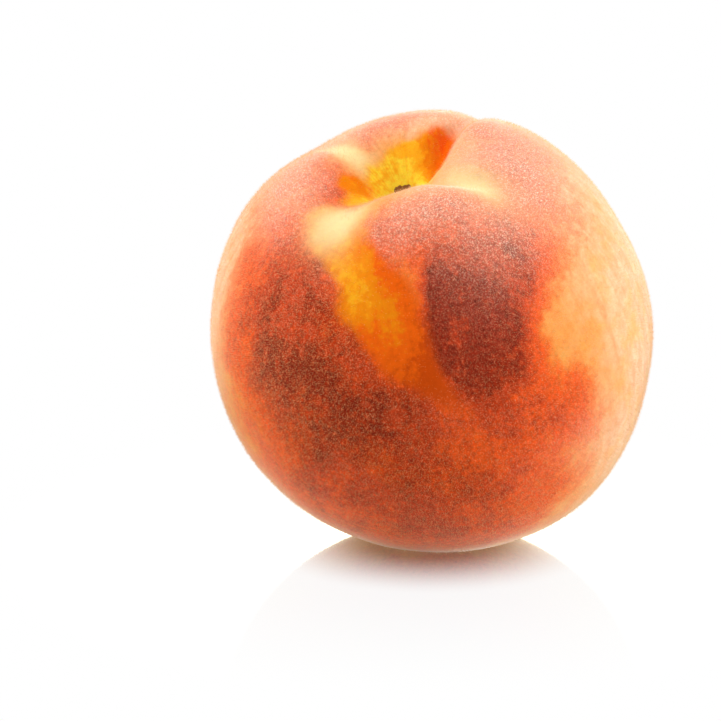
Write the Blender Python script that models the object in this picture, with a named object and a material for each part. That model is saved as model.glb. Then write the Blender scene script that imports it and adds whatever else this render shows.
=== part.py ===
"""A ripe whole peach with the woody stub of its stalk, lying on a small flat spot.

Units are metres with +Z up. The origin is on the surface that the peach rests on, under the
middle of its box. The stem end leans towards -Y, so that the stalk cavity shows from there.

The fruit is a ball that a formula works over, in a frame of its own: the stalk's axis is +Z
there, a polar angle is counted from the stem end (0) to the blossom end (180), and an azimuth
is counted anticlockwise round the stalk from the side that faces the part's +X.
"""

from math import acos, asin, atan2, cos, exp, hypot, pi, radians, sin

import bmesh
import bpy
from mathutils import Matrix, Vector

MM = 0.001

# The fruit as a whole
RADIUS = 38.0 * MM
STEM_LEAN = radians(19.8)  # between the stalk's axis and the vertical
STEM_HEADING = radians(-113.1)  # which way it leans, from +X
REST_FLAT_DEPTH = 1.0 * MM  # how much of the underside is pressed flat

# Broad swellings (and slight flats, below 0): azimuth, polar angle, spread, height
SWELLINGS = (
    (-42, 132, 30, 1.5 * MM),  # low cheek
    (50, 46, 16, 0.5 * MM),  # shoulder beside the suture
    (160, 56, 20, 0.6 * MM),  # shoulder on the other side
    (16, 72, 14, -0.7 * MM),  # flank
    (113, 40, 12, -0.5 * MM),  # behind the cavity
    (0, 180, 10, 0.5 * MM),  # blossom tip
)

# The stalk cavity: a wide oval basin with a narrow pit in its floor
BASIN_DEPTH = 6.2 * MM
BASIN_RADII = (12.8 * MM, 9.1 * MM)
BASIN_TURN = radians(-160)  # heading of its long radius
BASIN_CENTRE = (-1.2 * MM, -1.05 * MM)
BASIN_SHARPNESS = 2.6  # 2 is a plain bell, more makes a flatter floor and a rounder rim
PIT_DEPTH = 5.0 * MM
PIT_RADIUS = 4.2 * MM
PIT_CENTRE = (-1.0 * MM, -0.3 * MM)

# Grooves that run out of the cavity between the shoulders
GROOVE_REFERENCE = 25.0  # polar angle at which a groove has its azimuth
GROOVE_LIMITS = (10.0, 75.0)  # polar angles between which its azimuth drifts
SUTURE = {
    "azimuth": 65.0,
    "offset": 3.1 * MM,  # how far clockwise of that meridian it runs
    "drift": 0.0,  # degrees of azimuth for each degree of polar angle
    "depth": 5.0 * MM,
    "width": 1.9 * MM,
    "widening": 0.3,  # how much wider it is after 60 degrees
    "full_to": 14.0,  # polar angle from which it fades
    "fade": 15.0,
    "remainder": 0.2,  # share of its depth that runs on to the blossom end
}
RIGHT_GROOVE = {
    "azimuth": -38.0,
    "offset": 0.0,
    "drift": 1.2,
    "depth": 2.3 * MM,
    "width": 2.6 * MM,
    "widening": 0.6,
    "full_to": 18.0,
    "fade": 12.0,
    "remainder": 0.0,
}
FRONT_GROOVE = {
    "azimuth": -138.0,
    "offset": 0.0,
    "drift": 1.2,
    "depth": 2.8 * MM,
    "width": 4.6 * MM,
    "widening": 0.8,
    "full_to": 18.0,
    "fade": 30.0,
    "remainder": 0.0,
}
BACK_GROOVE = {
    "azimuth": 140.0,
    "offset": 0.0,
    "drift": 0.0,
    "depth": 1.8 * MM,
    "width": 2.8 * MM,
    "widening": 1.5,
    "full_to": 18.0,
    "fade": 20.0,
    "remainder": 0.0,
}
GROOVES = (SUTURE, RIGHT_GROOVE, FRONT_GROOVE, BACK_GROOVE)

# The woody stub in the pit
STUB_HEIGHT = 2.7 * MM
STUB_RADIUS = 1.45 * MM
STUB_FOOT_FLARE = 0.3  # how much wider it is at its foot
STUB_RAGGEDNESS = 0.5 * MM
STUB_GAP = 0.3 * MM  # clear of the fruit all round

# Mesh density
MERIDIANS = 84
RINGS = 50
RING_BUNCHING = 0.35  # draws the rings towards the stem end
MERIDIAN_BUNCHING = 0.35  # draws the meridians towards the suture
STUB_SIDES = 16
STUB_RINGS = 4
STUB_SHARP_ANGLE = radians(40)

SKIN_COLOUR = (0.80, 0.34, 0.16, 1.0)
WOOD_COLOUR = (0.16, 0.07, 0.03, 1.0)


def smoothstep(value, low, high):
    """0 at low, 1 at high, and smooth between them. low may be the larger one."""
    share = min(max((value - low) / (high - low), 0.0), 1.0)
    return share * share * (3 - 2 * share)


def direction(azimuth, polar):
    return Vector((sin(polar) * cos(azimuth), sin(polar) * sin(azimuth), cos(polar)))


def groove_dip(groove, azimuth, polar):
    """How deep a groove lies at this point."""
    degrees = polar * 180 / pi
    drifted = min(max(degrees, GROOVE_LIMITS[0]), GROOVE_LIMITS[1]) - GROOVE_REFERENCE
    turn = azimuth - radians(groove["azimuth"] + groove["drift"] * drifted)
    across = RADIUS * sin(polar) * sin(turn) + groove["offset"]
    same_side = smoothstep(cos(turn) * sin(polar), -0.01, 0.14)
    past = max(degrees - groove["full_to"], 0.0) / groove["fade"]
    along = exp(-past * past)
    along += groove["remainder"] * (1 - along) * smoothstep(degrees, 180, 150)
    width = groove["width"] * (1 + groove["widening"] * degrees / 60)
    return groove["depth"] * along * same_side * exp(-((across / width) ** 2))


def cavity_depth(x, y):
    """How far the stem end is drawn in, at this distance from the stalk's axis."""
    dx, dy = x - BASIN_CENTRE[0], y - BASIN_CENTRE[1]
    along = dx * cos(BASIN_TURN) + dy * sin(BASIN_TURN)
    across = dy * cos(BASIN_TURN) - dx * sin(BASIN_TURN)
    oval = hypot(along / BASIN_RADII[0], across / BASIN_RADII[1])
    pit = hypot(x - PIT_CENTRE[0], y - PIT_CENTRE[1]) / PIT_RADIUS
    return BASIN_DEPTH * exp(-(oval**BASIN_SHARPNESS)) + PIT_DEPTH * exp(-pit * pit)


def fruit_surface(azimuth, polar):
    """A point of the skin, in the fruit's own frame."""
    outward = direction(azimuth, polar)
    reach = RADIUS
    for swell_azimuth, swell_polar, spread, height in SWELLINGS:
        towards = direction(radians(swell_azimuth), radians(swell_polar))
        reach += height * exp((outward.dot(towards) - 1) / (1 - cos(radians(spread))))
    reach -= sum(groove_dip(groove, azimuth, polar) for groove in GROOVES)
    point = outward * reach
    if polar < pi / 2:
        point.z -= cavity_depth(RADIUS * outward.x, RADIUS * outward.y)
    return point


def skin_height(x, y):
    """How high the skin lies near the stalk's axis, in the fruit's own frame."""
    return fruit_surface(atan2(y, x), asin(hypot(x, y) / RADIUS)).z


def resting_turn():
    """Turns the fruit's own frame into the part's: its X stays as near to +X as it can."""
    stalk = direction(STEM_HEADING, STEM_LEAN)
    side = (Vector((1, 0, 0)) - stalk * stalk.x).normalized()
    return Matrix((side, stalk.cross(side), stalk)).transposed()


def shape_fruit(bm):
    """A UV sphere whose points follow fruit_surface, turned to its resting pose."""
    bmesh.ops.create_uvsphere(bm, u_segments=MERIDIANS, v_segments=RINGS, radius=1.0)
    turn = resting_turn()
    for vert in bm.verts:
        polar = acos(min(max(vert.co.z, -1.0), 1.0))
        polar -= RING_BUNCHING * sin(polar)
        azimuth = atan2(vert.co.y, vert.co.x)
        azimuth -= MERIDIAN_BUNCHING * sin(azimuth - radians(SUTURE["azimuth"]))
        vert.co = turn @ fruit_surface(azimuth, polar)


def resting_shift(bm):
    """Centres the box over the origin, with the flat of the underside at height 0."""
    low = Vector([min(vert.co[axis] for vert in bm.verts) for axis in range(3)])
    high = Vector([max(vert.co[axis] for vert in bm.verts) for axis in range(3)])
    middle = (low + high) / 2
    return Vector((-middle.x, -middle.y, -low.z - REST_FLAT_DEPTH))


def press_flat(bm):
    """Cuts the underside off level at height 0 and closes it with one flat face."""
    everything = bm.verts[:] + bm.edges[:] + bm.faces[:]
    bmesh.ops.bisect_plane(
        bm, geom=everything, plane_co=(0, 0, 0), plane_no=(0, 0, 1), clear_inner=True
    )
    rim = [edge for edge in bm.edges if edge.is_boundary]
    bmesh.ops.contextual_create(bm, geom=rim)
    for edge in rim:
        edge.smooth = False


def shape_stub(bm):
    """A ragged woody peg in the pit: its foot follows the pit's floor at STUB_GAP."""
    bmesh.ops.create_cone(
        bm, cap_ends=True, segments=STUB_SIDES, radius1=1.0, radius2=1.0, depth=1.0
    )
    upright = [edge for edge in bm.edges if abs(edge.verts[0].co.z - edge.verts[1].co.z) > 0.5]
    bmesh.ops.subdivide_edges(bm, edges=upright, cuts=STUB_RINGS - 1)
    turn = resting_turn()
    pit_floor = skin_height(*PIT_CENTRE)
    for vert in bm.verts:
        around = atan2(vert.co.y, vert.co.x)
        share = vert.co.z + 0.5
        knobbly = 1 + 0.07 * sin(3 * around + 1.0) + 0.05 * sin(5 * around + 4 * share)
        radius = STUB_RADIUS * knobbly * (1 + STUB_FOOT_FLARE * (1 - share) ** 3)
        x = PIT_CENTRE[0] + radius * cos(around)
        y = PIT_CENTRE[1] + radius * sin(around)
        foot = skin_height(x, y) + STUB_GAP
        ragged = STUB_RAGGEDNESS * (0.6 * sin(around + 2.6) + 0.4 * sin(4 * around))
        top = pit_floor + STUB_HEIGHT + ragged
        vert.co = turn @ Vector((x, y, foot + (top - foot) * share))
    for edge in bm.edges:
        edge.smooth = edge.calc_face_angle(0.0) < STUB_SHARP_ANGLE


def add_material(obj, name, colour, roughness):
    material = bpy.data.materials.new(name)
    material.use_nodes = True
    shader = material.node_tree.nodes["Principled BSDF"]
    shader.inputs["Base Color"].default_value = colour
    shader.inputs["Roughness"].default_value = roughness
    obj.data.materials.append(material)


def make_object(bm, name, collection):
    """Turns the finished shape into an object, shaded smooth but for its sharp edges."""
    bmesh.ops.recalc_face_normals(bm, faces=bm.faces[:])
    for face in bm.faces:
        face.smooth = True
    mesh = bpy.data.meshes.new(name)
    bm.to_mesh(mesh)
    bm.free()
    obj = bpy.data.objects.new(name, mesh)
    collection.objects.link(obj)
    return obj


def main():
    for obj in list(bpy.data.objects):
        bpy.data.objects.remove(obj, do_unlink=True)
    peach = bpy.data.collections.new("peach")
    bpy.context.scene.collection.children.link(peach)

    fruit_mesh = bmesh.new()
    shape_fruit(fruit_mesh)
    shift = resting_shift(fruit_mesh)
    bmesh.ops.translate(fruit_mesh, verts=fruit_mesh.verts[:], vec=shift)
    press_flat(fruit_mesh)
    fruit = make_object(fruit_mesh, "fruit", peach)
    add_material(fruit, "peach_skin", SKIN_COLOUR, 0.75)

    stub_mesh = bmesh.new()
    shape_stub(stub_mesh)
    bmesh.ops.translate(stub_mesh, verts=stub_mesh.verts[:], vec=shift)
    stub = make_object(stub_mesh, "stem_stub", peach)
    add_material(stub, "stalk_wood", WOOD_COLOUR, 0.85)


main()
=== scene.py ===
"""Looks of the whole peach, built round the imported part: downy blushed skin, a woody stub in the
stem cavity and a coat of fine hairs, on a glossy white floor.

The fruit repeats the part's own formula on a finer mesh. It works in the fruit's own frame:
+Z is the stalk's axis, a polar angle is counted from the stem end (0) to the blossom end (180),
and an azimuth anticlockwise round the stalk from the side that faces the part's +X. Angles are
in degrees unless radians() is round them, and lengths are in metres.
"""

from math import cos, pi, radians, sin

import bpy
import numpy as np
from mathutils import Matrix, Vector, noise


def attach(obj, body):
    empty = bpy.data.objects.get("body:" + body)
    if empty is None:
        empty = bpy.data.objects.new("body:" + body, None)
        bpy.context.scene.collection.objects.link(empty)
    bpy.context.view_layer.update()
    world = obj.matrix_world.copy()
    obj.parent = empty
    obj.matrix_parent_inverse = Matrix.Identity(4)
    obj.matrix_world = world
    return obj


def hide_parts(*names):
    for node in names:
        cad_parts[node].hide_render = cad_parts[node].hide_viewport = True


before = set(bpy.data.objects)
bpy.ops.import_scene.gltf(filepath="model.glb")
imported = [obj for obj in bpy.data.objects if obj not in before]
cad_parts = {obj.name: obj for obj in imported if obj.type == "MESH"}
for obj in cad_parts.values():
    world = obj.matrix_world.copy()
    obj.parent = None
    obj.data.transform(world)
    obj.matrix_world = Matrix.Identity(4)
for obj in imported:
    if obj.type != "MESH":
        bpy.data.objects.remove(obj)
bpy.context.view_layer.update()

MM = 0.001

# The fruit's form, as in the part
RADIUS = 38.0 * MM
STEM_LEAN = 19.8
STEM_HEADING = -113.1
REST_FLAT_DEPTH = 1.0 * MM
SWELLINGS = (  # azimuth, polar angle, spread, height
    (-42, 132, 30, 1.5 * MM),
    (50, 46, 16, 0.5 * MM),
    (160, 56, 20, 0.6 * MM),
    (16, 72, 14, -0.7 * MM),
    (113, 40, 12, -0.5 * MM),
    (0, 180, 10, 0.5 * MM),
)
BASIN_DEPTH = 6.2 * MM
BASIN_RADII = (12.8 * MM, 9.1 * MM)
BASIN_TURN = radians(-160)
BASIN_CENTRE = (-1.2 * MM, -1.05 * MM)
BASIN_SHARPNESS = 2.6
PIT_DEPTH = 5.0 * MM
PIT_RADIUS = 4.2 * MM
PIT_CENTRE = (-1.0 * MM, -0.3 * MM)
GROOVE_REFERENCE = 25.0
GROOVE_LIMITS = (10.0, 75.0)
GROOVE_SIDE_FADE = (-0.01, 0.14)
GROOVE_END_FADE = (180, 150)
GROOVE_WIDENED_AT = 60
GROOVES = (  # suture, right, front, back
    dict(azimuth=65, offset=3.1 * MM, drift=0.0, depth=5.0 * MM, width=1.9 * MM, widening=0.3,
         full_to=14, fade=15, remainder=0.2),
    dict(azimuth=-38, offset=0.0, drift=1.2, depth=2.3 * MM, width=2.6 * MM, widening=0.6,
         full_to=18, fade=12, remainder=0.0),
    dict(azimuth=-138, offset=0.0, drift=1.2, depth=2.8 * MM, width=4.6 * MM, widening=0.8,
         full_to=18, fade=30, remainder=0.0),
    dict(azimuth=140, offset=0.0, drift=0.0, depth=1.8 * MM, width=2.8 * MM, widening=1.5,
         full_to=18, fade=20, remainder=0.0),
)

# The stub: the part's, but more ragged, and rooted in the skin
STUB_HEIGHT = 2.7 * MM
STUB_RADIUS = 1.45 * MM
STUB_FOOT_FLARE = 0.3
STUB_ROOT_DEPTH = 0.15 * MM
STUB_FOOT_DEPTH = 0.2 * MM  # of the middle of its foot, below the pit's floor
STUB_HOLLOW = 0.35 * MM  # how far its broken top is worn down towards the middle
STUB_HOLLOW_POWER = 0.6
STUB_TOP_DEPTH = 0.4 * MM
STUB_RIBS = 0.06  # share of the radius
STUB_UNEVENNESS = ((4, 1, 0.05), (11, 2, 0.05))  # how fine round it and up it, and the share
STUB_SPLINTER_SIZE = 0.45 * MM
STUB_SPLINTERS = 0.28 * MM
STUB_TILT = 0.3 * MM  # how much higher its top is on one side
STUB_TILT_TURN = 2.6  # which side, in radians
STUB_SIDES = 96
STUB_LEVELS = 26
STUB_CAP_RINGS = 10

# The finer mesh
MERIDIANS = 360
RINGS = 258
RING_BUNCHING = 0.35
FLAT_ROUNDING = 0.6 * MM
UNDULATIONS = ((11 * MM, 0.16 * MM), (4.5 * MM, 0.05 * MM))  # size and height

NOISE_SEED = 3
STREAK_SLOWNESS = 0.12  # how slowly the streaks change along a meridian

# The coat of hairs
HAIR_SEED = 7
HAIR_PIECES = 4
HAIRS_PER_PIECE = 45_000
HAIR_LENGTH = (0.22 * MM, 0.52 * MM)
HAIR_HALF_WIDTH = 0.015 * MM
HAIR_ROOT_DEPTH = 0.03 * MM
HAIR_COMBING = 0.06  # how far neighbours lean the same way
HAIR_SCATTER = 0.10  # how far each leans its own way
COMB_SIZE = 5 * MM
COMB_OCTAVES = 2
BARE_HEIGHT = 0.1 * MM  # no tip below this,
HAIRLESS_HEIGHT = 10 * MM  # and fewer up to this: the fruit rubs its fuzz off on what it lies on
BARER_WHERE = {"bare": 0.8, "cream": 0.5}

# The camera, at the photographed view
VIEW_ELEVATION = radians(14)
VIEW_DISTANCE = 0.48
VIEW_LENS = 138.0
VIEW_CLIP_START = 0.05
AIM_YAW = radians(1.46)  # the peach stands right of the middle
AIM_PITCH = radians(0.61)  # and above it

# The floor and the light
FLOOR_SIZE = 6.0
FLOOR_LIGHT = 0.72
SHADE_LIGHT = 0.24
SHADE_EDGE = (5 * MM, 44 * MM)  # the fruit keeps the light off the floor here
MIRROR_TINT = (1.0, 0.93, 0.68, 1)
MIRROR_ROUGHNESS = 0.06
MIRROR_STRENGTH = 0.94
MIRROR_EDGE = (11 * MM, 32 * MM)
FAINT_STRENGTH = 0.07
FAINT_EDGE = (20 * MM, 80 * MM)
WHITE = (1, 1, 1, 1)
ROOM_LIGHT = 0.50
LAMPS = (
    dict(name="top", place=(-0.09, -0.12, 0.60), size=0.25, power=1.9),
    dict(name="left", place=(-0.56, 0.12, 0.20), size=0.40, power=1.3),
    dict(name="right", place=(0.57, -0.06, 0.05), size=0.40, power=3.4),
    dict(name="back", place=(0.00, 0.60, 0.35), size=0.50, power=1.4),
)


def smoothstep(value, low, high):
    """0 at low, 1 at high, and smooth between them. low may be the larger one."""
    share = np.clip((value - low) / (high - low), 0, 1)
    return share * share * (3 - 2 * share)


def direction(azimuth, polar):
    """Unit vector or vectors at these angles."""
    azimuth, polar = np.radians(azimuth), np.radians(polar)
    flat = np.sin(polar)
    return np.stack([flat * np.cos(azimuth), flat * np.sin(azimuth), np.cos(polar)], -1)


def unit(vectors):
    return vectors / np.linalg.norm(vectors, axis=1, keepdims=True)


def random_vectors(points, size, octaves):
    """A vector at each point that changes smoothly from place to place, over about this size."""
    return np.array([noise.turbulence_vector(Vector(p) / size, octaves, False) for p in points])


# ---------------------------------------------------------------- form of the fruit


def groove_dip(groove, azimuth, polar):
    """How deep a groove lies at these points."""
    drifted = np.clip(polar, *GROOVE_LIMITS) - GROOVE_REFERENCE
    turn = np.radians(azimuth - groove["azimuth"] - groove["drift"] * drifted)
    flat = np.sin(np.radians(polar))
    across = RADIUS * flat * np.sin(turn) + groove["offset"]
    same_side = smoothstep(np.cos(turn) * flat, *GROOVE_SIDE_FADE)
    past = np.maximum(polar - groove["full_to"], 0) / groove["fade"]
    along = np.exp(-past * past)
    along = along + groove["remainder"] * (1 - along) * smoothstep(polar, *GROOVE_END_FADE)
    width = groove["width"] * (1 + groove["widening"] * polar / GROOVE_WIDENED_AT)
    return groove["depth"] * along * same_side * np.exp(-((across / width) ** 2))


def cavity_depth(x, y):
    """How far the stem end is drawn in, at this distance from the stalk's axis."""
    dx, dy = x - BASIN_CENTRE[0], y - BASIN_CENTRE[1]
    along = dx * cos(BASIN_TURN) + dy * sin(BASIN_TURN)
    across = dy * cos(BASIN_TURN) - dx * sin(BASIN_TURN)
    oval = np.hypot(along / BASIN_RADII[0], across / BASIN_RADII[1])
    pit = np.hypot(x - PIT_CENTRE[0], y - PIT_CENTRE[1]) / PIT_RADIUS
    return BASIN_DEPTH * np.exp(-(oval**BASIN_SHARPNESS)) + PIT_DEPTH * np.exp(-pit * pit)


def fruit_surface(azimuth, polar):
    """Points of the skin in the fruit's own frame, from arrays of angles."""
    outward = direction(azimuth, polar)
    reach = np.full(azimuth.shape, RADIUS)
    for swell_azimuth, swell_polar, spread, height in SWELLINGS:
        near = outward @ direction(swell_azimuth, swell_polar)
        reach = reach + height * np.exp((near - 1) / (1 - cos(radians(spread))))
    for groove in GROOVES:
        reach = reach - groove_dip(groove, azimuth, polar)
    points = outward * reach[..., None]
    depth = cavity_depth(RADIUS * outward[..., 0], RADIUS * outward[..., 1])
    points[..., 2] -= np.where(polar < 90, depth, 0)
    return points


def skin_height(x, y):
    """How high the skin lies near the stalk's axis, in the fruit's own frame."""
    polar = np.degrees(np.arcsin(np.hypot(x, y) / RADIUS))
    return float(fruit_surface(np.degrees(np.arctan2([y], [x])), np.atleast_1d(polar))[0, 2])


def resting_turn():
    """Turns the fruit's own frame into the part's: its X stays as near to +X as it can."""
    stalk = Vector(direction(STEM_HEADING, STEM_LEAN))
    side = (Vector((1, 0, 0)) - stalk * stalk.x).normalized()
    return Matrix((side, stalk.cross(side), stalk)).transposed()


def undulation(points):
    """Slight unevenness of the skin, as heights."""
    heights = np.zeros(len(points))
    for size, height in UNDULATIONS:
        heights += height * np.array([noise.noise(Vector(p) / size) for p in points])
    return heights


def sphere_grid():
    """Azimuths, polar angles and faces of a closed ball of MERIDIANS by RINGS, with the rings
    bunched at the stem end."""
    even = np.linspace(0, pi, RINGS + 1)[1:-1]
    polar = np.degrees(even - RING_BUNCHING * np.sin(even))
    azimuth = np.arange(MERIDIANS) * 360.0 / MERIDIANS
    azimuths = np.append(np.tile(azimuth, RINGS - 1), [0.0, 0.0])
    polars = np.append(np.repeat(polar, MERIDIANS), [0.0, 180.0])
    stem_pole = MERIDIANS * (RINGS - 1)
    blossom_pole = stem_pole + 1
    here = np.arange(MERIDIANS)
    beside = (here + 1) % MERIDIANS
    faces = []
    for ring in range(RINGS - 2):
        top, bottom = ring * MERIDIANS, (ring + 1) * MERIDIANS
        faces += np.stack([top + here, bottom + here, bottom + beside, top + beside], 1).tolist()
    last = (RINGS - 2) * MERIDIANS
    faces += [[stem_pole, int(a), int(b)] for a, b in zip(here, beside)]
    faces += [[blossom_pole, last + int(b), last + int(a)] for a, b in zip(here, beside)]
    return azimuths, polars, faces


# ---------------------------------------------------------------- patches of colour


# azimuth, polar angle, half-width across and along the meridian, sharpness, strength
BLUSH_PATCHES = (
    (-70, 50, 15, 20, 3, 0.30),  # round the dark core of the front cheek
    (-78, 60, 8, 12, 2.5, 0.45),
    (-44, 93, 7, 9, 2, 0.22),
    (-52, 110, 10, 11, 2, 0.18),
    (-82, 106, 26, 36, 3, 0.58),  # under it
    (-56, 87, 11, 12, 3, 0.46),  # tongue to its right
    (-51, 47, 14, 13, 3, 0.46),  # its right shoulder
    (-96, 37, 11, 9, 2.5, 0.25),  # its left shoulder
    (-84, 29, 24, 8, 2, 0.42),  # its top
    (-117, 68, 21, 22, 3.5, 0.74),  # left cheek
    (-126, 42, 8, 8, 2, 0.35),
    (-142, 58, 18, 22, 3, 0.66),
    (-100, 78, 11, 11, 3, 0.62),
    (-118, 100, 30, 32, 2.5, 0.62),
    (-150, 43, 16, 12, 2, 0.20),
    (-176, 33, 20, 10, 2, 0.36),  # left shoulder
    (-178, 26, 14, 9, 2, 0.20),
    (-170, 19, 20, 6, 3, 0.40),  # cavity's left wall
    (108, 20, 20, 6, 3, 0.60),  # crest behind the cavity
    (-14, 28, 22, 12, 2, 0.56),  # right shoulder
    (20, 30, 18, 10, 2, 0.46),
    (-20, 46, 18, 14, 2, 0.24),
    (118, 66, 22, 26, 2, 0.60),  # back
    (158, 92, 26, 40, 2, 0.45),
    (96, 104, 20, 36, 2, 0.40),
    (12, 112, 22, 30, 2, 0.30),
)
CREAM_PATCHES = (
    (-131, 28, 8.5, 9, 3.5, 0.95),  # front saddle
    (-127, 34, 6, 7, 2, 0.45),
    (-38, 23, 3.2, 9.5, 2.5, 0.98),  # right stripe, partly a painted highlight along the lip where the front cheek meets the cavity
    (-37, 28, 6, 11, 2, 0.30),
    (147, 19, 3.6, 10.5, 3, 0.95),  # back stripe
    (145, 19, 6, 13, 2, 0.40),
)
# Greyish down: partly its own colour, partly painted sheen, the paler veil that the down shows on
# the tops, shoulders and crest
DOWN_AND_SHEEN_PATCHES = (
    (-60, 24, 28, 9, 3, 0.95),  # top of the front cheek
    (-52, 35, 15, 9, 2, 0.35),
    (-2, 28, 36, 20, 3, 0.92),  # right shoulder
    (172, 30, 24, 11, 3, 0.95),  # left shoulder
    (104, 26, 26, 7, 3, 0.95),  # crest behind the cavity
    (94, 18, 20, 5, 3, 0.55),
    (72, 34, 34, 9, 2.5, 0.95),
    (-44, 102, 13, 10, 2, 0.40),  # low on the front
)
TAN_PATCHES = (
    (-126, 66, 26, 26, 3, 1.0),  # left cheek
    (-118, 100, 34, 30, 3, 0.7),
    (-60, 104, 24, 26, 2.5, 0.5),
    (150, 80, 40, 40, 2.5, 0.5),  # back
)
# Pale sides: partly the skin's own paler colour, partly painted sheen, the pale glow of the down
# along the rims and on the back crest
PALE_AND_SHEEN_SIDES = (
    (-2, 88, 39, 80, 4, 0.95),  # right
    (178, 52, 22, 32, 3, 0.85),  # left
    (70, 60, 34, 34, 3, 0.80),  # back crest
    (98, 24, 34, 12, 3, 0.90),
    (-14, 112, 28, 30, 3, 0.80),  # low on the right
)

# Borders down the front: polar angles, and the azimuths that the border has there
CORE_LEFT = ((30, -82), (38, -85), (60, -87), (71, -82), (84, -77))
CORE_RIGHT = ((34, -36), (46, -46), (56, -53), (74, -59), (84, -66))
BAND_LEFT = (
    (22, -152), (32, -146), (41, -126), (46, -117), (54, -112), (62, -105), (70, -94), (80, -84)
)
BAND_RIGHT = ((22, -114), (34, -109), (44, -90), (60, -86), (71, -82), (84, -76))
BAND_ORANGE = ((30, -111), (40, -105), (50, -96), (60, -86), (70, -83))  # orange right of this
FRONT = -100  # azimuth of the middle of the front

# Areas between two borders. Each fades over these polar angles at its top and at its bottom, and
# over these widths at its left and its right edge.
BAND = dict(  # the yellow to orange band
    left=BAND_LEFT, right=BAND_RIGHT, top=(20, 28), bottom=(84, 70), edges=(3.4 * MM, 3.4 * MM))
CORE = dict(  # the dark core of the front cheek
    left=CORE_LEFT, right=CORE_RIGHT, top=(29, 48), bottom=(88, 66), edges=(3.0 * MM, 7.0 * MM))
HALO = dict(  # the red round it
    left=CORE_LEFT, right=CORE_RIGHT, top=(32, 54), bottom=(104, 70), edges=(9 * MM, 14 * MM))
CORE_STRENGTH = 0.84
CORE_PALER_SPOT = (-46, 44, 17, 17, 2)  # as a patch, without its strength
CORE_PALER_BY = 0.60
HALO_STRENGTH = 0.50

# The band's tone, from yellow 0 to red-orange 1, and how it grows across BAND_ORANGE and
# downwards. The growth downwards is painted shade: the band is darker towards its bottom.
BAND_TONE = 0.38
BAND_TONE_ACROSS = 0.44
BAND_TONE_EDGE = 5 * MM
BAND_SHADE_DOWN = 0.60
BAND_SHADE_DOWN_OVER = (44, 74)

# The bare skin in the cavity, from above: an oval's middle and radii in millimetres and its turn
# in degrees, then its tone from yellow 0 to brown 1
BARE_OVALS = (
    (0.4, 0.4, 5.8, 5.4, 0, 0.0),  # hollow
    (-0.6, 3.2, 3.2, 3.3, 8, 0.20),
    (-3.8, 2.2, 3.8, 3.2, 0, 0.14),
    (-6.3, -3.5, 4.6, 2.6, 30, 0.22),  # tongue to the front saddle
    (-9.1, -0.6, 3.0, 2.4, 15, 0.58),  # left wall
    (3.2, 5.4, 3.4, 3.2, 60, 0.44),  # wall beside the suture; its deeper tone towards the crease is partly painted shade
    (0.2, 5.3, 2.8, 1.5, 10, 0.36),
    (5.8, 6.8, 6.6, 2.4, 54, 0.74),
)
OVAL_FADE = (1.30, 0.60)  # from outside an oval to inside it, in shares of its radii
CAVITY_LIMIT = 60  # the ovals count up to this polar angle
CREAM_START = (7, 12)  # the cream fades in over these polar angles

# How the areas are shifted by noise, so that no border is even
WARP_SIZE = 9 * MM
WARP_OCTAVES = 5
WARP = 0.04  # share of the radius
CAVITY_WARP = 1.8 * MM

# How much one area takes from another
CREAM_FROM_BAND = 0.5
CREAM_FROM_BLUSH = 0.6
CREAM_FROM_DOWN_AND_SHEEN = 0.8
PALE_FROM_BLUSH = 0.35
BLUSH_RANGE = 0.92  # how far the blush falls from 1 where the ground is clear
NEARLY_NONE = 1e-6  # keeps a division off 0


def patch(outward, azimuth, polar, across, along, sharpness):
    """An oval spot: 1 at its middle, gone beyond these angles across and along the meridian. The
    higher the sharpness, the flatter its middle and the quicker its edge."""
    middle = direction(azimuth, polar)
    sideways = direction(azimuth + 90, 90)
    downwards = direction(azimuth, polar + 90)
    u = outward @ sideways / sin(radians(across))
    v = outward @ downwards / sin(radians(along))
    return np.exp(-np.hypot(u, v) ** sharpness) * (outward @ middle > 0)


def union_of(patches, outward):
    """Overlapping patches joined so that they never pass 1."""
    bare = np.ones(len(outward))
    for *shape, strength in patches:
        bare = bare * (1 - strength * patch(outward, *shape))
    return 1 - bare


def past_border(border, azimuth, polar):
    """Distance anticlockwise from a border."""
    polars, azimuths = zip(*border)
    turn = np.radians(azimuth - np.interp(polar, polars, azimuths))
    return RADIUS * np.sin(np.radians(polar)) * np.sin(turn)


def between(azimuth, polar, left, right, top, bottom, edges):
    """1 within an area down the front, fading to 0 across its edges."""
    share = smoothstep(past_border(left, azimuth, polar), -edges[0] / 2, edges[0] / 2)
    share = share * smoothstep(past_border(right, azimuth, polar), edges[1] / 2, -edges[1] / 2)
    share = share * smoothstep(polar, *top) * smoothstep(polar, *bottom)
    return share * (np.cos(np.radians(azimuth - FRONT)) > 0)


def bare_cavity(x, y):
    """1 where the cavity's skin is bare and 0 outside, and the tone there."""
    furred, total, tones = 1.0, NEARLY_NONE, 0.0
    for middle_x, middle_y, radius_x, radius_y, turn, tone in BARE_OVALS:
        dx, dy, turn = x - middle_x * MM, y - middle_y * MM, radians(turn)
        along, across = dx * cos(turn) + dy * sin(turn), dy * cos(turn) - dx * sin(turn)
        oval = np.hypot(along / radius_x, across / radius_y) / MM
        share = smoothstep(oval, *OVAL_FADE)
        furred, total, tones = furred * (1 - share), total + share, tones + share * tone
    return 1 - furred, tones / total


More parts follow.
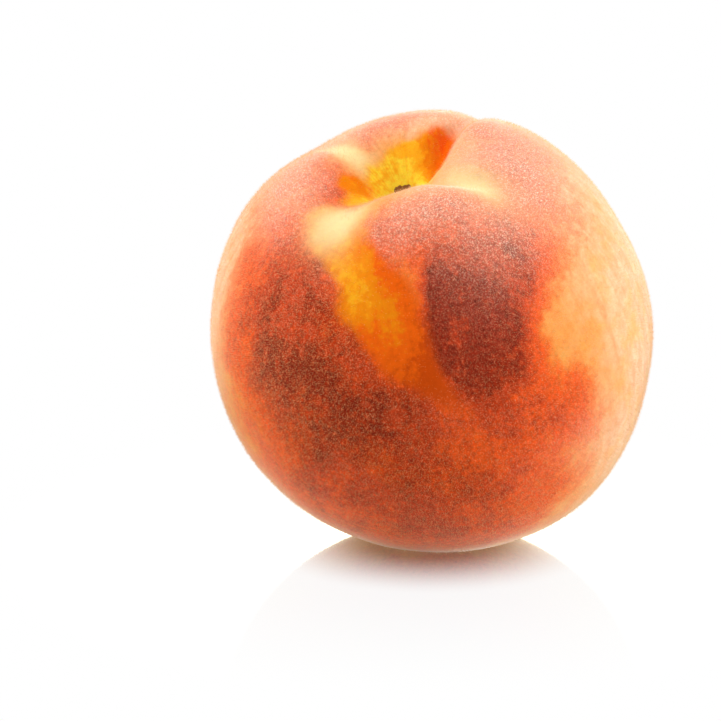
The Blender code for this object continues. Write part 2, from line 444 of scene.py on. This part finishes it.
def colour_masks(points, azimuth, polar):
    """Shares from 0 to 1 that the skin's colours are mixed by, for each point."""
    warp = random_vectors(points, WARP_SIZE, WARP_OCTAVES)
    outward = unit(direction(azimuth, polar) + WARP * warp)
    moved_azimuth = np.degrees(np.arctan2(outward[:, 1], outward[:, 0]))
    moved_polar = np.degrees(np.arccos(np.clip(outward[:, 2], -1, 1)))
    place = moved_azimuth, moved_polar

    unevenly = points + CAVITY_WARP * warp
    hollow, hollow_tone = bare_cavity(unevenly[:, 0], unevenly[:, 1])
    hollow = hollow * (polar < CAVITY_LIMIT)
    cream = union_of(CREAM_PATCHES, outward) * (1 - hollow) * smoothstep(moved_polar, *CREAM_START)

    across = smoothstep(past_border(BAND_ORANGE, *place), -BAND_TONE_EDGE, BAND_TONE_EDGE)
    band_tone = BAND_TONE + BAND_TONE_ACROSS * across
    # painted shade: the band grows darker towards its bottom
    band_tone = band_tone + BAND_SHADE_DOWN * smoothstep(moved_polar, *BAND_SHADE_DOWN_OVER)
    band = between(*place, **BAND) * (1 - hollow) * (1 - CREAM_FROM_BAND * cream)
    bare = band + hollow
    tone = (band * band_tone + hollow * hollow_tone) / np.maximum(bare, NEARLY_NONE)

    # pale sides, partly painted sheen along the rims
    pale_and_sheen = union_of(PALE_AND_SHEEN_SIDES, outward)
    core = between(*place, **CORE) * (1 - CORE_PALER_BY * patch(outward, *CORE_PALER_SPOT))
    ground = 1 - union_of(BLUSH_PATCHES, outward)
    ground = ground * (1 - HALO_STRENGTH * between(*place, **HALO)) * (1 - CORE_STRENGTH * core)
    blush = 1 - BLUSH_RANGE * ground
    blush = blush * (1 - CREAM_FROM_BLUSH * cream) * (1 - PALE_FROM_BLUSH * pale_and_sheen)
    # down, partly painted sheen on the tops and shoulders
    down_and_sheen = union_of(DOWN_AND_SHEEN_PATCHES, outward) * (1 - bare) * (1 - CREAM_FROM_DOWN_AND_SHEEN * cream)
    tan = union_of(TAN_PATCHES, outward)
    return dict(blush=blush, cream=cream, bare=bare, tone=tone, down_and_sheen=down_and_sheen, pale_and_sheen=pale_and_sheen, tan=tan)


# ---------------------------------------------------------------- meshes


def make_mesh(name, points, faces, smooth=True):
    mesh = bpy.data.meshes.new(name)
    mesh.from_pydata(points, [], faces)
    mesh.polygons.foreach_set("use_smooth", [smooth] * len(mesh.polygons))
    mesh.update()
    obj = bpy.data.objects.new(name, mesh)
    bpy.context.scene.collection.objects.link(obj)
    return obj


def add_attribute(mesh, name, values):
    """Gives each point of the mesh a number or a vector, for the materials."""
    values = np.asarray(values, np.float32)
    kind, key = ("FLOAT", "value") if values.ndim == 1 else ("FLOAT_VECTOR", "vector")
    mesh.attributes.new(name, kind, "POINT").data.foreach_set(key, values.ravel())


def rest_on_floor(world):
    """Presses the underside flat at height 0, with a soft edge."""
    z = world[:, 2]
    soft = (z + FLAT_ROUNDING) ** 2 / (4 * FLAT_ROUNDING)
    world[:, 2] = np.where(z > FLAT_ROUNDING, z, np.where(z < -FLAT_ROUNDING, 0, soft))
    return world


def make_fruit():
    """The fruit as a fine mesh in the part's frame, its points, and its own frame's place there.
    Its attribute "own" holds each point in its own frame, for the patterns."""
    azimuth, polar, faces = sphere_grid()
    smooth = fruit_surface(azimuth, polar)
    turn = np.array(resting_turn())
    world = smooth @ turn.T
    low, high = world.min(0), world.max(0)
    middle = (low + high) / 2
    shift = np.array([-middle[0], -middle[1], -low[2] - REST_FLAT_DEPTH])
    bumpy = smooth + direction(azimuth, polar) * undulation(smooth)[:, None]
    world = rest_on_floor(bumpy @ turn.T + shift)
    fruit = make_mesh("peach_fruit", world, faces)
    add_attribute(fruit.data, "own", smooth)
    streaks = RADIUS * direction(azimuth, np.full(polar.shape, 90.0))
    streaks[:, 2] = RADIUS * np.radians(polar) * STREAK_SLOWNESS
    add_attribute(fruit.data, "streaks", streaks)
    for name, values in colour_masks(smooth, azimuth, polar).items():
        add_attribute(fruit.data, name, values)
    return fruit, world, Matrix.Translation(shift) @ resting_turn().to_4x4()


def stub_point(angle, inwards, level, sink, pit_floor):
    """A point of the stub in the fruit's own frame. It lies this share of the way from the middle
    to the side, and this share of the way up."""
    ribs = STUB_RIBS * sin(3 * angle + 1)
    for around, upwards, height in STUB_UNEVENNESS:
        place = Vector((cos(angle) * around, sin(angle) * around, upwards * level))
        ribs += height * noise.noise(place)
    radius = STUB_RADIUS * inwards * (1 + ribs) * (1 + STUB_FOOT_FLARE * (1 - level) ** 3)
    x = PIT_CENTRE[0] + radius * cos(angle)
    y = PIT_CENTRE[1] + radius * sin(angle)
    foot = skin_height(x, y) - STUB_ROOT_DEPTH
    splinter = STUB_SPLINTERS * noise.noise(Vector((x, y, 0)) / STUB_SPLINTER_SIZE)
    tilt = STUB_TILT * sin(angle + STUB_TILT_TURN) * inwards
    top = pit_floor + STUB_HEIGHT + splinter + tilt - sink
    return x, y, foot + (top - foot) * level


def make_stub(placing):
    """A broken woody peg in the pit, ribbed along its fibres, ragged on top."""
    pit_floor = skin_height(*PIT_CENTRE)
    angles = np.arange(STUB_SIDES) * 2 * pi / STUB_SIDES
    rings = [(1.0, level / (STUB_LEVELS - 1), 0.0) for level in range(STUB_LEVELS)]
    for cap in range(1, STUB_CAP_RINGS):
        inwards = 1 - cap / STUB_CAP_RINGS
        rings.append((inwards, 1.0, STUB_HOLLOW * (1 - inwards) ** STUB_HOLLOW_POWER))
    points = [stub_point(angle, *ring, pit_floor) for ring in rings for angle in angles]
    top_middle, foot_middle = len(points), len(points) + 1
    points.append((*PIT_CENTRE, pit_floor + STUB_HEIGHT - STUB_TOP_DEPTH))
    points.append((*PIT_CENTRE, pit_floor - STUB_FOOT_DEPTH))
    last = (len(rings) - 1) * STUB_SIDES
    faces = []
    for low in range(0, last, STUB_SIDES):
        high = low + STUB_SIDES
        for side in range(STUB_SIDES):
            beside = (side + 1) % STUB_SIDES
            faces.append((low + side, low + beside, high + beside, high + side))
    for side in range(STUB_SIDES):
        beside = (side + 1) % STUB_SIDES
        faces.append((last + side, last + beside, top_middle))
        faces.append((beside, side, foot_middle))
    stub = make_mesh("stalk_stub", [placing @ Vector(point) for point in points], faces)
    add_attribute(stub.data, "own", points)
    return stub


# ---------------------------------------------------------------- hairs


def vertex_normals(points, triangles):
    """Unit normals at the points, from the triangles round each."""
    corners = points[triangles]
    facing = np.cross(corners[:, 1] - corners[:, 0], corners[:, 2] - corners[:, 0])
    normals = np.zeros_like(points)
    for corner in range(3):
        np.add.at(normals, triangles[:, corner], facing)
    return unit(normals)


def make_hairs(name, draw, points, normals, triangles, shares):
    """Slim spikes rooted in the skin. Each is a closed three-sided pyramid."""
    chosen = draw.choice(len(triangles), HAIRS_PER_PIECE, p=shares)
    weights = draw.dirichlet((1, 1, 1), HAIRS_PER_PIECE)
    corners = triangles[chosen]
    roots = (points[corners] * weights[:, :, None]).sum(1)
    up = unit((normals[corners] * weights[:, :, None]).sum(1))
    lean = HAIR_COMBING * random_vectors(roots, COMB_SIZE, COMB_OCTAVES)
    lean = lean + HAIR_SCATTER * draw.standard_normal((HAIRS_PER_PIECE, 3))
    heading = unit(up + lean - up * (lean * up).sum(1, keepdims=True))
    length = draw.uniform(*HAIR_LENGTH, HAIRS_PER_PIECE)
    tips = roots + heading * length[:, None]
    kept = tips[:, 2] > draw.uniform(BARE_HEIGHT, HAIRLESS_HEIGHT, HAIRS_PER_PIECE)
    roots, up, heading, tips = roots[kept], up[kept], heading[kept], tips[kept]
    side = unit(np.cross(heading, draw.standard_normal(heading.shape)))
    other = np.cross(heading, side)
    sunk = roots - up * HAIR_ROOT_DEPTH
    feet = [
        sunk + HAIR_HALF_WIDTH * (side * cos(angle) + other * sin(angle))
        for angle in (0, 2 * pi / 3, 4 * pi / 3)
    ]
    corners = np.stack(feet + [tips], 1).reshape(-1, 3)
    first = 4 * np.arange(len(tips))[:, None]
    sides = ((0, 1, 3), (1, 2, 3), (2, 0, 3), (2, 1, 0))
    faces = np.concatenate([first + np.array(side) for side in sides])
    return make_mesh(name, corners, faces.tolist(), smooth=False)


def make_fuzz(fruit, points):
    """The coat of hairs, thinner where the skin is bare or cream."""
    fruit.data.calc_loop_triangles()
    triangles = np.empty(3 * len(fruit.data.loop_triangles), np.int32)
    fruit.data.loop_triangles.foreach_get("vertices", triangles)
    triangles = triangles.reshape(-1, 3)
    normals = vertex_normals(points, triangles)
    corners = points[triangles]
    facing = np.cross(corners[:, 1] - corners[:, 0], corners[:, 2] - corners[:, 0])
    shares = np.linalg.norm(facing, axis=1)
    mask_there = np.empty(len(points), np.float32)
    thinning = np.ones(len(points))
    for mask, share in BARER_WHERE.items():
        fruit.data.attributes[mask].data.foreach_get("value", mask_there)
        thinning *= 1 - share * mask_there
    shares *= thinning[triangles].mean(1)
    shares /= shares.sum()
    material = fuzz_material()
    draw = np.random.default_rng(HAIR_SEED)
    for number in range(1, HAIR_PIECES + 1):
        hairs = make_hairs(f"fuzz_{number}", draw, points, normals, triangles, shares)
        hairs.data.materials.append(material)
        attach(hairs, "root")


# ---------------------------------------------------------------- materials


def linear(*channels):
    """A colour given as sRGB 0 to 255, as the linear values that a shader takes."""
    steps = [c / 255 for c in channels]
    values = [c / 12.92 if c <= 0.04045 else ((c + 0.055) / 1.055) ** 2.4 for c in steps]
    return (*values, 1.0)


# The skin's colours
YELLOW_GROUND = linear(246, 164, 60)
ORANGE_GROUND = linear(240, 134, 30)
GROUND_STREAK = linear(236, 136, 76)
PALE_CREAM = linear(243, 213, 174)
PALE_ROSE = linear(234, 174, 132)
PALE_GOLD = linear(242, 188, 108)
WARM_BLUSH = (  # from little red to much, as stops of a ramp
    (0.12, linear(248, 150, 62)),
    (0.30, linear(242, 112, 34)),
    (0.50, linear(232, 84, 20)),
    (0.72, linear(192, 58, 16)),
    (0.92, linear(142, 34, 8)),
)
ROSE_BLUSH = (  # the same on the pale sides
    (0.12, linear(244, 160, 112)),
    (0.30, linear(240, 128, 80)),
    (0.50, linear(224, 98, 58)),
    (0.72, linear(188, 68, 40)),
    (0.92, linear(142, 38, 18)),
)
BARE_TONES = (  # from tone 0 to 1
    (0.0, linear(250, 220, 60)),
    (0.25, linear(246, 172, 28)),
    (0.50, linear(238, 134, 8)),
    (0.75, linear(238, 98, 8)),
    (1.0, linear(206, 74, 4)),
)
DOWN_AND_SHEEN_VEIL = linear(226, 176, 156)
CREAM_SKIN = linear(238, 214, 154)
# Flecks of the down: partly the skin's own, partly painted glints of light on it
TAN_FLECK = linear(240, 160, 84)
PINK_FLECK = linear(240, 160, 124)
FLECK_ON_DARK = linear(226, 146, 92)
WHITE_GLINT = linear(250, 216, 190)
SHEEN_TINT = linear(255, 242, 222)
FUZZ_COLOUR = linear(255, 214, 156)
WOOD_TONES = (
    (0.25, linear(72, 38, 14)),
    (0.5, linear(130, 78, 32)),
    (0.75, linear(180, 122, 60)),
)

# The skin's patterns: how many to the metre, detail, roughness
BLOTCHES = (170, 4, 0.65)
MOTTLE = (900, 3, 0.65)
STREAKS = (420, 3, 0.6)
PINK_PLACES = (75, 2, 0.5)
SPOTS = (420, 4, 0.65)
FLECKS = (3900, 3, 0.65)
GRAINS = (1300, 4, 0.85)
FINE_GRAIN = (1900, 2, 0.6)
COARSE_GRAIN = (700, 2, 0.5)
FINE_GRAIN_SHARE = 0.5
FIBRES = (2600, 4, 0.65)
FIBRE_STRETCH = (1.0, 1.0, 0.2)

# How much each pattern shifts where a colour changes
RED_SHIFT = dict(mottle=0.60, blotches=1.05, streaks=0.35)
ROSY_SHIFT = dict(mottle=0.5, streaks=0.45)
BARE_SHIFT = dict(mottle=0.5, streaks=0.3, blotches=0.5)
SHIFT_AT_NO_BLUSH = 0.30
SHIFT_PER_BLUSH = 0.6

# The values of a pattern, or of how red a place is, over which one colour gives way to the next
ORANGE_AT = 0.5
ROSE_OVER = (0.20, 0.80)
PALE_GOLD_OVER = (-0.08, 0.26)
GROUND_STREAK_OVER = (-0.10, 0.2)
BLUSH_OVER = (0.05, 0.40)
FLECKS_OVER = (0.47, 0.66)
PINK_FLECKS_OVER = (0.4, 0.6)
DARK_FLECKS_OVER = (0.6, 0.9)
TAN_FADES_OVER = (0.75, 1.0)

# How strong each is
GROUND_STREAK_SHARE = 0.18
DOWN_AND_SHEEN_VEIL_SHARE = 0.45
WHITE_GLINT_SHARE = 0.9
FLECK_PATCHINESS = 1.6
TAN_EVERYWHERE = 0.20
TAN_IN_PATCHES = 0.42
TAN_ON_RED = 1.2
TAN_ON_DARK = 0.6
GRAIN_ON_RED = 2.4
GRAIN_LESS_IN_DOWN_AND_SHEEN = 0.7
GRAIN_EVERYWHERE = 0.35
GRAIN_LESS_ON_CREAM = 0.7
BRIGHTNESS = 1.03
SKIN_BUMP = 0.07 * MM
SKIN_BUMP_STRENGTH = 0.9
WOOD_BUMP = 0.15 * MM


class Nodes:
    """Short calls for building a material's nodes."""

    def __init__(self, name):
        self.material = bpy.data.materials.new(name)
        self.material.use_nodes = True
        self.tree = self.material.node_tree
        self.shader = self.tree.nodes["Principled BSDF"]

    def link(self, source, target):
        """Joins a socket to an input, or sets the input to a value."""
        if isinstance(source, bpy.types.NodeSocket):
            self.tree.links.new(source, target)
        else:
            target.default_value = source

    def add(self, kind, output, settings=(), **inputs):
        node = self.tree.nodes.new(kind)
        for key, value in dict(settings).items():
            setattr(node, key, value)
        for key, value in inputs.items():
            self.link(value, node.inputs[key.replace("_", " ")])
        return node.outputs[output]

    def attribute(self, name, output="Fac"):
        return self.add("ShaderNodeAttribute", output, {"attribute_name": name})

    def math(self, operation, a, b=0.0, c=0.0, clamp=False):
        node = self.tree.nodes.new("ShaderNodeMath")
        node.operation = operation
        node.use_clamp = clamp
        for value, target in zip((a, b, c), node.inputs):
            self.link(value, target)
        return node.outputs[0]

    def times(self, a, b, clamp=False):
        return self.math("MULTIPLY", a, b, clamp=clamp)

    def times_plus(self, a, b, plus):
        return self.math("MULTIPLY_ADD", a, b, plus)

    def rest_of(self, share):
        return self.math("SUBTRACT", 1.0, share)

    def noise(self, vector, scale, detail, roughness):
        return self.add("ShaderNodeTexNoise", "Fac", Vector=vector, Scale=scale, Detail=detail,
                        Roughness=roughness)

    def even_noise(self, vector, *pattern):
        """Noise above and below 0."""
        return self.math("SUBTRACT", self.noise(vector, *pattern), 0.5)

    def shifted(self, value, patterns, shares):
        """The value plus a share of each of these patterns."""
        for name, share in shares.items():
            value = self.times_plus(patterns[name], share, value)
        return value

    def remap(self, value, low, high, to_low=0.0, to_high=1.0):
        node = self.tree.nodes.new("ShaderNodeMapRange")
        node.interpolation_type = "SMOOTHSTEP"
        for source, target in zip((value, low, high, to_low, to_high), node.inputs):
            self.link(source, target)
        return node.outputs[0]

    def mix(self, share, a, b):
        node = self.tree.nodes.new("ShaderNodeMix")
        node.data_type = "RGBA"
        for source, index in ((share, 0), (a, 6), (b, 7)):  # the inputs of a colour mix
            self.link(source, node.inputs[index])
        return node.outputs[2]

    def ramp(self, value, stops):
        node = self.tree.nodes.new("ShaderNodeValToRGB")
        node.color_ramp.interpolation = "EASE"
        elements = node.color_ramp.elements
        for index, (place, colour) in enumerate(stops):
            element = elements[index] if index < 2 else elements.new(place)
            element.position = place
            element.color = colour
        self.link(value, node.inputs[0])
        return node.outputs[0]

    def bump(self, height, distance, strength=1.0):
        normal = self.add("ShaderNodeBump", "Normal", Height=height, Distance=distance,
                          Strength=strength)
        self.link(normal, self.shader.inputs["Normal"])

    def set(self, **values):
        for key, value in values.items():
            self.link(value, self.shader.inputs[key.replace("_", " ")])


def skin_colour(n, here, patterns, masks, red):
    """The skin's colour without its flecks: ground, blush over it, then bare skin, down, cream.
    The ground's pale sides and the down are partly painted sheen, the cream partly a painted
    highlight, and the bare band partly painted shade.
    """
    blotches, streaks = patterns["blotches"], patterns["streaks"]
    ground = n.mix(n.math("ADD", blotches, ORANGE_AT), YELLOW_GROUND, ORANGE_GROUND)
    pinker = n.shifted(n.noise(here, *SPOTS), patterns, ROSY_SHIFT)
    rosy = n.mix(n.remap(pinker, *ROSE_OVER), PALE_CREAM, PALE_ROSE)
    pale_ground = n.mix(n.remap(blotches, *PALE_GOLD_OVER), rosy, PALE_GOLD)
    # the paler sides, partly painted sheen along the rims
    ground = n.mix(masks["pale_and_sheen"], ground, pale_ground)
    streaked = n.remap(streaks, *GROUND_STREAK_OVER, 0.0, GROUND_STREAK_SHARE)
    ground = n.mix(streaked, ground, GROUND_STREAK)
    blush = n.mix(masks["pale_and_sheen"], n.ramp(red, WARM_BLUSH), n.ramp(red, ROSE_BLUSH))
    colour = n.mix(n.remap(red, *BLUSH_OVER), ground, blush)
    bare = n.ramp(n.shifted(masks["tone"], patterns, BARE_SHIFT), BARE_TONES)
    colour = n.mix(masks["bare"], colour, bare)
    # the down's veil, partly painted sheen on the tops and shoulders
    colour = n.mix(n.times(masks["down_and_sheen"], DOWN_AND_SHEEN_VEIL_SHARE), colour, DOWN_AND_SHEEN_VEIL)
    return n.mix(masks["cream"], colour, CREAM_SKIN)


def add_flecks(n, colour, here, patterns, masks, red):
    """Light flecks of the down, partly the skin's own and partly painted glints of light on the
    down: tan on the red skin, whitish on the shoulders, where they are painted glints.
    """
    furred = n.rest_of(masks["bare"])
    specks = n.remap(n.noise(here, *FLECKS), *FLECKS_OVER)
    specks = n.times(specks, n.times_plus(patterns["blotches"], FLECK_PATCHINESS, 1.0))
    tanned = n.times(red, n.times_plus(masks["tan"], TAN_IN_PATCHES, TAN_EVERYWHERE))
    on_dark = n.remap(red, *TAN_FADES_OVER, TAN_ON_RED, TAN_ON_DARK)
    tan = n.times(n.times(specks, tanned, clamp=True), n.times(furred, on_dark))
    pinkness = n.remap(n.noise(here, *PINK_PLACES), *PINK_FLECKS_OVER)
    fleck = n.mix(pinkness, TAN_FLECK, PINK_FLECK)
    fleck = n.mix(n.remap(red, *DARK_FLECKS_OVER), fleck, FLECK_ON_DARK)
    colour = n.mix(tan, colour, fleck)
    # painted glints: whitish flecks on the down of the tops and shoulders
    white = n.times(specks, n.times(masks["down_and_sheen"], WHITE_GLINT_SHARE), clamp=True)
    return n.mix(white, colour, WHITE_GLINT)


def add_grain(n, colour, here, masks, red):
    """Fine light and dark grain, stronger on the red skin than on the yellow."""
    on_red = n.times_plus(masks["down_and_sheen"], -GRAIN_LESS_IN_DOWN_AND_SHEEN, GRAIN_ON_RED)
    coarse = n.times(n.rest_of(masks["bare"]), n.times(red, on_red))
    off_cream = n.times_plus(masks["cream"], -GRAIN_LESS_ON_CREAM, 1.0)
    coarse = n.times(n.math("ADD", coarse, GRAIN_EVERYWHERE), off_cream)
    shade = n.times_plus(n.even_noise(here, *GRAINS), coarse, BRIGHTNESS)
    scale = {"operation": "SCALE"}
    return n.add("ShaderNodeVectorMath", "Vector", scale, Vector=colour, Scale=shade)


def skin_material():
    n = Nodes("peach_skin_fine")
    here = n.attribute("own", "Vector")
    names = ("blush", "cream", "bare", "tone", "down_and_sheen", "pale_and_sheen", "tan")
    masks = {name: n.attribute(name) for name in names}
    patterns = {
        "blotches": n.even_noise(here, *BLOTCHES),
        "mottle": n.even_noise(here, *MOTTLE),
        "streaks": n.even_noise(n.attribute("streaks", "Vector"), *STREAKS),
    }
    reach = n.times_plus(masks["blush"], SHIFT_PER_BLUSH, SHIFT_AT_NO_BLUSH)
    red = n.times_plus(n.shifted(0.0, patterns, RED_SHIFT), reach, masks["blush"])

    colour = skin_colour(n, here, patterns, masks, red)
    colour = add_flecks(n, colour, here, patterns, masks, red)
    colour = add_grain(n, colour, here, masks, red)
    n.set(Base_Color=colour, Roughness=0.7, Specular_IOR_Level=0.04,
          Sheen_Weight=1.0, Sheen_Roughness=0.3, Sheen_Tint=SHEEN_TINT,
          Subsurface_Weight=0.1, Subsurface_Radius=(1.0, 0.35, 0.12), Subsurface_Scale=1.2 * MM)
    grain = n.noise(here, *COARSE_GRAIN)
    grain = n.times_plus(n.noise(here, *FINE_GRAIN), FINE_GRAIN_SHARE, grain)
    n.bump(grain, SKIN_BUMP, SKIN_BUMP_STRENGTH)
    return n.material


def wood_material():
    n = Nodes("stalk_wood_fine")
    here = n.attribute("own", "Vector")
    along = n.add("ShaderNodeMapping", "Vector", Vector=here, Scale=FIBRE_STRETCH)
    fibres = n.noise(along, *FIBRES)
    n.set(Base_Color=n.ramp(fibres, WOOD_TONES), Roughness=0.85, Specular_IOR_Level=0.2)
    n.bump(fibres, WOOD_BUMP)
    return n.material


def fuzz_material():
    n = Nodes("peach_fuzz")
    n.set(Base_Color=FUZZ_COLOUR, Roughness=0.8, Specular_IOR_Level=0.1)
    return n.material


# ---------------------------------------------------------------- stage


def mixed_shader(tree, share, first, second, output):
    """Shows the first shader where the share is 0 and the second where it is 1."""
    mixed = tree.nodes.new("ShaderNodeMixShader")
    for source, target in zip((share, first, second), mixed.inputs):
        tree.links.new(source, target)
    tree.links.new(mixed.outputs[0], tree.nodes[output].inputs["Surface"])


def make_floor():
    """White wherever it is seen, and a soft-edged mirror round the peach's foot. The light it
    gives the peach is dimmer, and more so near the foot."""
    bpy.ops.mesh.primitive_plane_add(size=FLOOR_SIZE)
    floor = bpy.context.object
    floor.name = "floor"
    n = Nodes("white_floor")
    here = n.add("ShaderNodeTexCoord", "Object")
    away = n.add("ShaderNodeVectorMath", "Value", {"operation": "LENGTH"}, Vector=here)
    lighting_peach = n.add("ShaderNodeLightPath", "Is Diffuse Ray")
    lit = n.remap(away, *SHADE_EDGE, SHADE_LIGHT - 1, FLOOR_LIGHT - 1)
    shown = n.times_plus(lighting_peach, lit, 1.0)
    white = n.add("ShaderNodeEmission", "Emission", Color=WHITE, Strength=shown)
    near = n.remap(away, *MIRROR_EDGE, MIRROR_STRENGTH - FAINT_STRENGTH, 0.0)
    near = n.math("ADD", near, n.remap(away, *FAINT_EDGE, FAINT_STRENGTH, 0.0))
    near = n.times(near, n.rest_of(lighting_peach))
    n.set(Base_Color=MIRROR_TINT, Metallic=1.0, Roughness=MIRROR_ROUGHNESS)
    mixed_shader(n.tree, near, white, n.shader.outputs[0], "Material Output")
    floor.data.materials.append(n.material)


def add_light(name, place, size, power, target):
    data = bpy.data.lights.new(name, "AREA")
    data.shape = "DISK"
    data.size = size
    data.energy = power
    light = bpy.data.objects.new(name, data)
    bpy.context.scene.collection.objects.link(light)
    light.location = place
    light.rotation_mode = "QUATERNION"
    light.rotation_quaternion = (Vector(target) - Vector(place)).to_track_quat("-Z", "Y")


def make_light(middle):
    """A white room whose walls show white but light the peach less, and the lamps."""
    world = bpy.data.worlds.new("white_room")
    bpy.context.scene.world = world
    world.use_nodes = True
    nodes = world.node_tree.nodes
    shown, dim = nodes["Background"], nodes.new("ShaderNodeBackground")
    for background, strength in ((shown, 1.0), (dim, ROOM_LIGHT)):
        background.inputs["Color"].default_value = WHITE
        background.inputs["Strength"].default_value = strength
    lighting_peach = nodes.new("ShaderNodeLightPath").outputs["Is Diffuse Ray"]
    mixed_shader(world.node_tree, lighting_peach, shown.outputs[0], dim.outputs[0], "World Output")
    for lamp in LAMPS:
        add_light(target=middle, **lamp)


def make_camera(middle):
    """Looks along +Y from VIEW_ELEVATION, aimed beside the peach so that it stands off centre."""
    camera = bpy.data.objects.new("camera", bpy.data.cameras.new("camera"))
    bpy.context.scene.collection.objects.link(camera)
    camera.data.lens = VIEW_LENS
    camera.data.clip_start = VIEW_CLIP_START
    back = Vector((0, -cos(VIEW_ELEVATION), sin(VIEW_ELEVATION)))
    camera.location = Vector(middle) + VIEW_DISTANCE * back
    level = Matrix.Rotation(radians(90) - VIEW_ELEVATION, 4, "X")
    aim = Matrix.Rotation(AIM_YAW, 4, "Y") @ Matrix.Rotation(-AIM_PITCH, 4, "X")
    camera.rotation_mode = "QUATERNION"
    camera.rotation_quaternion = (level @ aim).to_quaternion()
    bpy.context.scene.camera = camera


def main():
    noise.seed_set(NOISE_SEED)  # or the clock would set it
    bpy.context.scene.view_settings.view_transform = "Standard"
    fruit, points, placing = make_fruit()
    fruit.data.materials.append(skin_material())
    make_camera(placing.translation)
    make_floor()
    make_light(placing.translation)
    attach(fruit, "root")
    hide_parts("fruit")

    stub = make_stub(placing)
    stub.data.materials.append(wood_material())
    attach(stub, "root")
    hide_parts("stem_stub")

    make_fuzz(fruit, points)


main()
